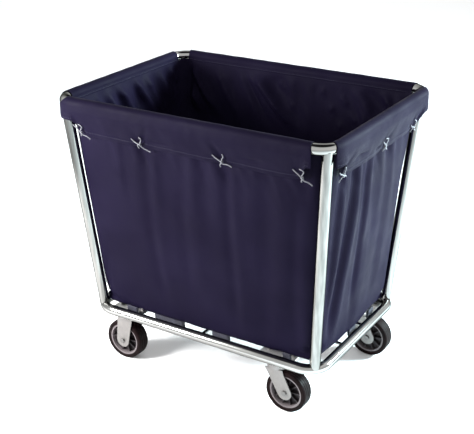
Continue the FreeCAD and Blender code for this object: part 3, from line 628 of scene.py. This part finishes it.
class Flap:
    """The cloth that wraps over one rail: where each of its points lies."""

    def __init__(self, side):
        self.side = side
        self.outward, self.direction, self.reach, half = SIDES[side]
        self.half = half - RAIL_BEND
        self.ties = TIES[side]
        self.seed = list(SIDES).index(side) * 7.3
        self.ends = REACH[side]
        self.first = -self.half - self.ends[0][1]
        self.last = self.half + self.ends[1][1]

    def rail(self, along):
        """Where the rail's middle is, and which way is out, at a length along it."""
        past = abs(along) - self.half
        sign = math.copysign(1, along)
        if past <= 0:
            return self.outward * self.reach + self.direction * along, self.outward
        angle = past / RAIL_BEND
        run = self.half + RAIL_BEND * math.sin(angle)
        depth = RAIL_BEND * (1 - math.cos(angle))
        middle = self.outward * (self.reach - depth) + self.direction * (sign * run)
        out = self.outward * math.cos(angle) + self.direction * (sign * math.sin(angle))
        return middle, out

    def settle(self, along, run):
        """Draws the ends back on top of the rail, where the flap is narrower."""
        reach_top, reach_low = self.ends[0 if along < 0 else 1]
        drawn = (reach_low - reach_top) * (1 - smooth(run, 0.004, 0.040))
        return along - math.copysign(drawn, along) * smooth(abs(along), self.half - 0.05, self.half)

    def at_end(self, along):
        """1 on the free corners that hang outside the legs, 0 between them."""
        return smooth(abs(along), self.half - FREE_END, self.half - 0.006)

    def tied(self, along):
        return max(hump(along, tie, 0.030) for tie in self.ties)

    def drop(self, along):
        wave = 0.0025 * noise.noise(Vector((along * 9, self.seed, 0)))
        full = FLAP_DROP + wave - 0.003 * self.tied(along)
        return full - (full - END_DROP) * self.at_end(along)

    def lean(self, along):
        """How far the lower edge is drawn in towards the bag."""
        wave = 0.003 * noise.noise(Vector((along * 14, self.seed + 3, 0)))
        inner = FLAP_LEAN + 0.001 + wave + 0.002 * self.tied(along)
        return inner * (1 - self.at_end(along)) + 0.001 * self.at_end(along)

    def crease(self, along, down):
        """Folds that gather above each tie, and soft unevenness of the cloth."""
        lower = smooth(down, 0.012, 0.05)
        value = 0.0022 * lower * noise.noise(Vector((along * 22, down * 9, self.seed + 5)))
        value += 0.0010 * noise.noise(Vector((along * 48, down * 30, self.seed + 9)))
        for number, tie in enumerate(self.ties):
            for slant, width, depth in ((-0.45, 0.008, 0.0074), (0.60, 0.009, 0.0060)):
                depth *= 0.55 + 0.45 * math.sin(3.1 * number + self.seed + slant * 9)
                line = tie + slant * (FLAP_DROP - KNOT_LIFT - down)
                near = smooth(down, 0.020, 0.062) * (1 - 0.6 * smooth(down, 0.070, 0.085))
                value -= depth * near * hump(along, line, width)
        for place, half, depth_down, width, depth in TUCKS.get(self.side, ()):
            value -= depth * hump(along, place, half) * hump(down, depth_down, width)
        return value * (1 - 0.6 * self.at_end(along))

    def point(self, along, run, lift=0.0):
        """run is the length from the top of the rail: negative inside, positive outside."""
        along = self.settle(along, run)
        middle, out = self.rail(along)
        if run < -WRAP_QUARTER:
            tuck = 0.0012 * smooth(-run - WRAP_QUARTER, 0, 0.01)
            up = RAIL_Z + run + WRAP_QUARTER
            return middle - out * (WRAP + tuck + lift) + UP * up
        if run <= WRAP_QUARTER:
            angle = run / WRAP
            ripple = 0.0006 * (1 + noise.noise(Vector((along * 30, run * 30, self.seed))))
            size = WRAP + ripple + lift
            return middle + out * (size * math.sin(angle)) + UP * (RAIL_Z + size * math.cos(angle))
        down = run - WRAP_QUARTER
        full = self.drop(along)
        down *= full / FLAP_DROP
        share = smooth_bend(max(0.0, down - FLAP_STRAIGHT) / (full - FLAP_STRAIGHT))
        hem = 0.0009 * smooth(down, full - HEM - 0.0008, full - HEM)
        across = WRAP + 0.0008 - self.lean(along) * share + self.crease(along, down) + hem + lift
        return middle + out * across + UP * (RAIL_Z - down)

    def normal(self, along, run):
        step = 0.001
        here = self.point(along, run)
        one = self.point(along + step, run) - here
        two = self.point(along, run + step) - here
        return two.cross(one).normalized()


def smooth_bend(share):
    """Leaves the vertical gently, then runs nearly straight."""
    return share ** 1.25


def flap_runs():
    """Lengths over the rail at which a flap has rows of points, close together at the hem."""
    quarter = WRAP_QUARTER
    runs = [-quarter - LIP_IN * (1 - i / LIP_ROWS) for i in range(LIP_ROWS)]
    runs += [-quarter + 2 * quarter * i / WRAP_ROWS for i in range(WRAP_ROWS + 1)]
    upper = FLAP_DROP - HEM - 0.0012
    runs += [quarter + upper * i / 15 for i in range(1, 16)]
    runs += [quarter + upper + 0.0014]
    runs += [quarter + FLAP_DROP - HEM * (1 - i / 4) + 0.0004 * (4 - i) for i in range(1, 5)]
    return runs


def make_flap(side):
    flap = Flap(side)
    runs = flap_runs()
    count = int((flap.last - flap.first) / FLAP_STEP) + 1
    places = [flap.first + (flap.last - flap.first) * i / (count - 1) for i in range(count)]
    points = [flap.point(along, run) for run in runs for along in places]
    piece = make_object(f"cloth_flap_{side}", points, grid_faces(count, len(runs)), "navy_cloth")
    solid = piece.modifiers.new("thick", "SOLIDIFY")
    solid.thickness = CLOTH_THICK
    solid.offset = 0
    soft = piece.modifiers.new("soft", "SUBSURF")
    soft.levels = soft.render_levels = 1
    stitches = []
    hem_run = runs[LIP_ROWS + WRAP_ROWS] + FLAP_DROP - HEM + 0.0032
    lip_run = runs[0] + 0.004
    for run in (hem_run, lip_run):
        along = flap.first + 0.006
        while along < flap.last - 0.006:
            if not any(abs(along - tie) < 0.008 for tie in flap.ties) or run < 0:
                ahead = (flap.point(along + 0.001, run) - flap.point(along - 0.001, run)).normalized()
                out = flap.normal(along, run)
                stitches.append((flap.point(along, run) + out * CLOTH_THICK / 2, ahead, out))
            along += STITCH_PITCH
    sewn = make_object(f"flap_stitches_{side}", *stitch_line(stitches), "navy_thread", "navy_cloth")
    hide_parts(f"flap_{side}")


for flap_side in SIDES:
    make_flap(flap_side)


# ---------------------------------------------------------------- bag

BAG_TOP = bag_high.z + 0.003
BAG_TOP_X = bag_high.x
BAG_TOP_Y = bag_high.y
BAG_TOP_CORNER = 0.050
BAG_FOOT = bag_low.z
BAG_FOOT_X = 0.355
BAG_FOOT_Y = 0.222
BAG_FOOT_CORNER = 0.012
LONG_STEPS = 64
SHORT_STEPS = 42
CORNER_STEPS = 6
WALL_ROWS = 54
FLOOR_RINGS = 14
CLOTH_FRAMES = 24
# The furthest that the cloth simulation may move a point.
CLOTH_LIMIT = 0.009


def bag_columns():
    """(side, how far along it from -1 to 1, how far round its corner from 0 to 1) per column."""
    columns = []
    for side, steps in (
        ("front", LONG_STEPS), ("right", SHORT_STEPS), ("back", LONG_STEPS), ("left", SHORT_STEPS)
    ):
        columns += [(side, -1 + 2 * i / steps, 0.0) for i in range(steps)]
        columns += [(side, 1.0, i / CORNER_STEPS) for i in range(CORNER_STEPS)]
    return columns


def bag_outline(column, half_x, half_y, corner):
    """The place and outward direction of one column on a rounded rectangle."""
    side, share, turn = column
    outward, direction, _, _ = SIDES[side]
    reach, half = (half_y, half_x) if side in ("front", "back") else (half_x, half_y)
    if turn == 0:
        return outward * reach + direction * (share * (half - corner)), outward
    angle = turn * math.pi / 2
    out = outward * math.cos(angle) + direction * math.sin(angle)
    centre = outward * (reach - corner) + direction * (half - corner)
    return centre + out * corner, out


# Folds that run down the walls: side, place at the top and at the foot, half width, depth, and
# the heights between which each one is seen.
WALL_FOLDS = (
    ("front", -0.150, -0.128, 0.016, 0.0040, 0.30, 0.76),
    ("front", -0.020, -0.040, 0.022, 0.0030, 0.36, 0.80),
    ("front", 0.124, 0.108, 0.015, 0.0045, 0.28, 0.76),
    ("front", 0.240, 0.205, 0.026, 0.0040, 0.25, 0.70),
    ("front", 0.330, 0.300, 0.014, 0.0035, 0.22, 0.66),
    ("right", -0.118, -0.168, 0.016, 0.0125, 0.28, 0.79),
    ("right", -0.030, -0.060, 0.011, 0.0075, 0.34, 0.79),
    ("right", -0.190, -0.215, 0.012, 0.0085, 0.36, 0.78),
    ("right", 0.085, 0.080, 0.022, 0.0035, 0.30, 0.76),
    ("right", 0.000, -0.050, 0.020, 0.0040, 0.20, 0.50),
    ("back", 0.180, 0.160, 0.018, 0.0050, 0.28, 0.78),
    ("back", -0.060, -0.020, 0.022, 0.0040, 0.25, 0.78),
    ("back", -0.250, -0.225, 0.016, 0.0045, 0.30, 0.78),
    ("left", -0.060, -0.090, 0.018, 0.0060, 0.28, 0.78),
    ("left", 0.080, 0.060, 0.016, 0.0045, 0.30, 0.78),
)


def wall_fold(side, along, height):
    value = 0.0
    for fold_side, top, foot, width, depth, low, high in WALL_FOLDS:
        if fold_side != side:
            continue
        share = (height - BAG_FOOT) / (BAG_TOP - BAG_FOOT)
        line = foot + (top - foot) * share + 0.006 * math.sin(9 * height + top * 40)
        seen = smooth(height, low - 0.08, low + 0.06) * (1 - smooth(height, high - 0.02, high + 0.03))
        value += depth * seen * (0.55 * hump(along, line + 1.7 * width, width * 1.1)
                                 - hump(along, line, width))
    return value


# The furthest that the gathers at the mouth stand out, and how much of them shows on each side.
GATHER_OUT = 0.009
GATHER_SHARE = {"front": 0.3, "right": 0.4, "back": 1.15, "left": 1.0}
# How far the cloth draws in beside the back right leg, how high up, and over what half height.
CORNER_DRAW = 0.0115
CORNER_DRAW_HEIGHT = 0.53
CORNER_DRAW_REACH = 0.08


def top_gather(side, along, height):
    """Slanting folds inside the mouth, where the cloth is drawn over the rail."""
    down = BAG_TOP - height
    seen = smooth(down, 0.008, 0.035) * (1 - smooth(down, 0.09, 0.20))
    slant = 0.7 if side in ("back", "left") else -0.5
    across = along + slant * down
    seed = list(SIDES).index(side) * 3.7
    value = 0.020 * noise.noise(Vector((across * 14, down * 3, seed)))
    for scale, depth in ((10, 0.022), (17, 0.016)):
        ridge = max(0.0, 1 - 5 * abs(noise.noise(Vector((across * scale, down * 1.5, seed + scale)))))
        value -= depth * ridge * ridge
    return min(value, GATHER_OUT) * seen * GATHER_SHARE[side]


def bag_point(column, share):
    """A wall point; share is 0 at the foot and 1 at the top."""
    side, place, turn = column
    height = BAG_FOOT + (BAG_TOP - BAG_FOOT) * share
    half_x = BAG_FOOT_X + (BAG_TOP_X - BAG_FOOT_X) * share
    half_y = BAG_FOOT_Y + (BAG_TOP_Y - BAG_FOOT_Y) * share
    corner = BAG_FOOT_CORNER + (BAG_TOP_CORNER - BAG_FOOT_CORNER) * share
    spot, out = bag_outline(column, half_x - 0.0008, half_y - 0.0008, corner)
    along = spot.dot(SIDES[side][1])
    flat = 1.0 - smooth(turn, 0.0, 0.2) if turn else 1.0
    move = (wall_fold(side, along, height) + top_gather(side, along, height)) * flat
    belly = math.sin(math.pi * min(1.0, share)) * 0.004 * (1 - abs(place) ** 3)
    move += belly * flat
    if turn and side == "right":
        move -= CORNER_DRAW * math.sin(math.pi * turn) * hump(
            height, CORNER_DRAW_HEIGHT, CORNER_DRAW_REACH
        )
    move += 0.0012 * noise.noise(Vector((spot.x * 11, spot.y * 11, height * 7)))
    # The outermost row stays where the rail and the foot hold it.
    move *= smooth(1 - share, 0.0, 0.03) * smooth(share, 0.0, 0.06)
    return spot + out * move + UP * height


def bag_shape():
    columns = bag_columns()
    points = []
    for row in range(WALL_ROWS):
        points += [bag_point(column, 1 - row / (WALL_ROWS - 1)) for column in columns]
    for ring in range(1, FLOOR_RINGS + 1):
        share = 1 - ring / FLOOR_RINGS
        for column in columns:
            if ring == FLOOR_RINGS:
                break
            spot, _ = bag_outline(column, BAG_FOOT_X * share, BAG_FOOT_Y * share,
                                  BAG_FOOT_CORNER * share)
            sag = 0.0009 * noise.noise(Vector((spot.x * 16, spot.y * 16, 2)))
            points.append(spot + UP * (BAG_FOOT + CLOTH_THICK + 0.0006 + abs(sag)))
    points.append(Vector((0, 0, BAG_FOOT + CLOTH_THICK)))
    count = len(columns)
    faces = grid_faces(count, WALL_ROWS + FLOOR_RINGS - 1, closed=True)
    centre = len(points) - 1
    last = centre - count
    faces += [(last + i, last + (i + 1) % count, centre) for i in range(count)]
    return points, faces, count


def hang_bag(piece, count):
    """Lets the walls fall into their own folds, held at the rail and at the foot."""
    start = [vertex.co.copy() for vertex in piece.data.vertices]
    hold = piece.vertex_groups.new(name="hold")
    for i in range(len(start)):
        row = i // count
        weight = 1.0 if row < 2 or row >= WALL_ROWS - 1 else 0.0
        if weight:
            hold.add([i], weight, "REPLACE")
    cloth = piece.modifiers.new("cloth", "CLOTH")
    settings = cloth.settings
    settings.quality = 6
    settings.mass = 0.25
    settings.tension_stiffness = 20
    settings.compression_stiffness = 12
    settings.shear_stiffness = 8
    settings.bending_stiffness = 1.2
    settings.shrink_min = -0.010
    settings.shrink_max = -0.010
    settings.vertex_group_mass = "hold"
    cloth.collision_settings.use_collision = False
    cloth.point_cache.frame_start = 1
    cloth.point_cache.frame_end = CLOTH_FRAMES
    scene = bpy.context.scene
    for step in range(1, CLOTH_FRAMES + 1):
        scene.frame_set(step)
    depsgraph = bpy.context.evaluated_depsgraph_get()
    fallen = [vertex.co.copy() for vertex in piece.evaluated_get(depsgraph).data.vertices]
    piece.modifiers.remove(cloth)
    scene.frame_set(1)
    for vertex, before, after in zip(piece.data.vertices, start, fallen):
        move = after - before
        if move.length > CLOTH_LIMIT:
            move *= CLOTH_LIMIT / move.length
        vertex.co = before + move


def make_bag():
    points, faces, count = bag_shape()
    piece = make_object("cloth_bag", points, faces, "navy_cloth")
    hang_bag(piece, count)
    rows = [
        [piece.data.vertices[row * count + column].co.copy() for column in range(count)]
        for row in range(WALL_ROWS)
    ]
    solid = piece.modifiers.new("thick", "SOLIDIFY")
    solid.thickness = CLOTH_THICK
    solid.offset = 0
    soft = piece.modifiers.new("soft", "SUBSURF")
    soft.levels = soft.render_levels = 1
    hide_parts("bag")
    return piece, rows


bag, bag_rows = make_bag()


def make_seams():
    """A raised seam with two rows of stitches down each corner of the bag."""
    shapes = []
    stitches = []
    first = 0
    for steps in (LONG_STEPS, SHORT_STEPS, LONG_STEPS, SHORT_STEPS):
        column = first + steps + CORNER_STEPS // 2
        first += steps + CORNER_STEPS
        line = [row[column] for row in bag_rows]
        points = []
        for i, here in enumerate(line):
            across = (bag_rows[i][(column + 1) % len(bag_rows[i])] - bag_rows[i][column - 1]).normalized()
            down = (line[min(i + 1, len(line) - 1)] - line[max(i - 1, 0)]).normalized()
            out = across.cross(down).normalized()
            if out.dot(Vector((here.x, here.y, 0))) < 0:
                out = -out
            for place, lift in ((-5, 0.3), (-4, 1.3), (0, 1.7), (4, 1.3), (5, 0.3)):
                points.append(here + across * (place / 1000) + out * (lift / 1000))
            for place in (-3.2, 3.2):
                stitches.append((here + across * (place / 1000) + out * 0.0015, down, out))
        shapes.append((points, grid_faces(5, len(line))))
    seam = make_object("bag_seams", *join(shapes), "navy_cloth")
    solid = seam.modifiers.new("thick", "SOLIDIFY")
    solid.thickness = 0.0006
    sewn = make_object("bag_stitches", *stitch_line(stitches), "navy_thread", "navy_cloth")
    return [seam, sewn]


seam_pieces = make_seams()
bag_area = 2 * (BAG_TOP_X + BAG_FOOT_X + BAG_TOP_Y + BAG_FOOT_Y) * (BAG_TOP - BAG_FOOT)
bag_area += 4 * BAG_FOOT_X * BAG_FOOT_Y


# ---------------------------------------------------------------- webbing tabs

TABS = (
    # side, place along the side, width, as in the frame's bottom_tabs
    ("front", -0.262, 0.036), ("front", -0.127, 0.104), ("front", 0.052, 0.056),
    ("front", 0.268, 0.024), ("back", 0.268, 0.024), ("back", 0.052, 0.056),
    ("back", -0.127, 0.104), ("back", -0.262, 0.036), ("left", 0.134, 0.032),
    ("left", 0.010, 0.040), ("right", 0.010, 0.040), ("right", 0.134, 0.032),
)
TAB_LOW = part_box("bottom_tabs")[0].z


def tab_shape(side, along, width):
    """A doubled strip of webbing: down from the bag's edge, round a soft fold and up again."""
    outward, direction, _, _ = SIDES[side]
    reach = BAG_FOOT_Y if side in ("front", "back") else BAG_FOOT_X
    section = []
    top = BAG_FOOT + 0.004
    low = TAB_LOW + 0.0022
    for i in range(7):
        section.append((0.0012 + 0.0004 * math.sin(i), top + (low - top) * i / 6))
    for i in range(1, 8):
        angle = math.pi * i / 8
        section.append((-0.0010 + 0.0022 * math.cos(angle), low - 0.0022 * math.sin(angle)))
    for i in range(5):
        section.append((-0.0032 - 0.0004 * math.sin(i), low + (top - low) * i / 5))
    count = 9
    points = []
    for out, height in section:
        for i in range(count):
            share = i / (count - 1) - 0.5
            wave = 0.0007 * noise.noise(Vector((along * 31 + share * 5, height * 90, 1)))
            skew = (top - height) * 0.08 * math.sin(along * 50)
            spot = outward * (reach + out + wave - 0.001) + direction * (along + share * width + skew)
            points.append(spot + UP * height)
    return points, grid_faces(count, len(section))


tab_piece = make_object("webbing_tabs", *join([tab_shape(*tab) for tab in TABS]), "navy_webbing")
tab_solid = tab_piece.modifiers.new("thick", "SOLIDIFY")
tab_solid.thickness = 0.0013
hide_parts("bottom_tabs")
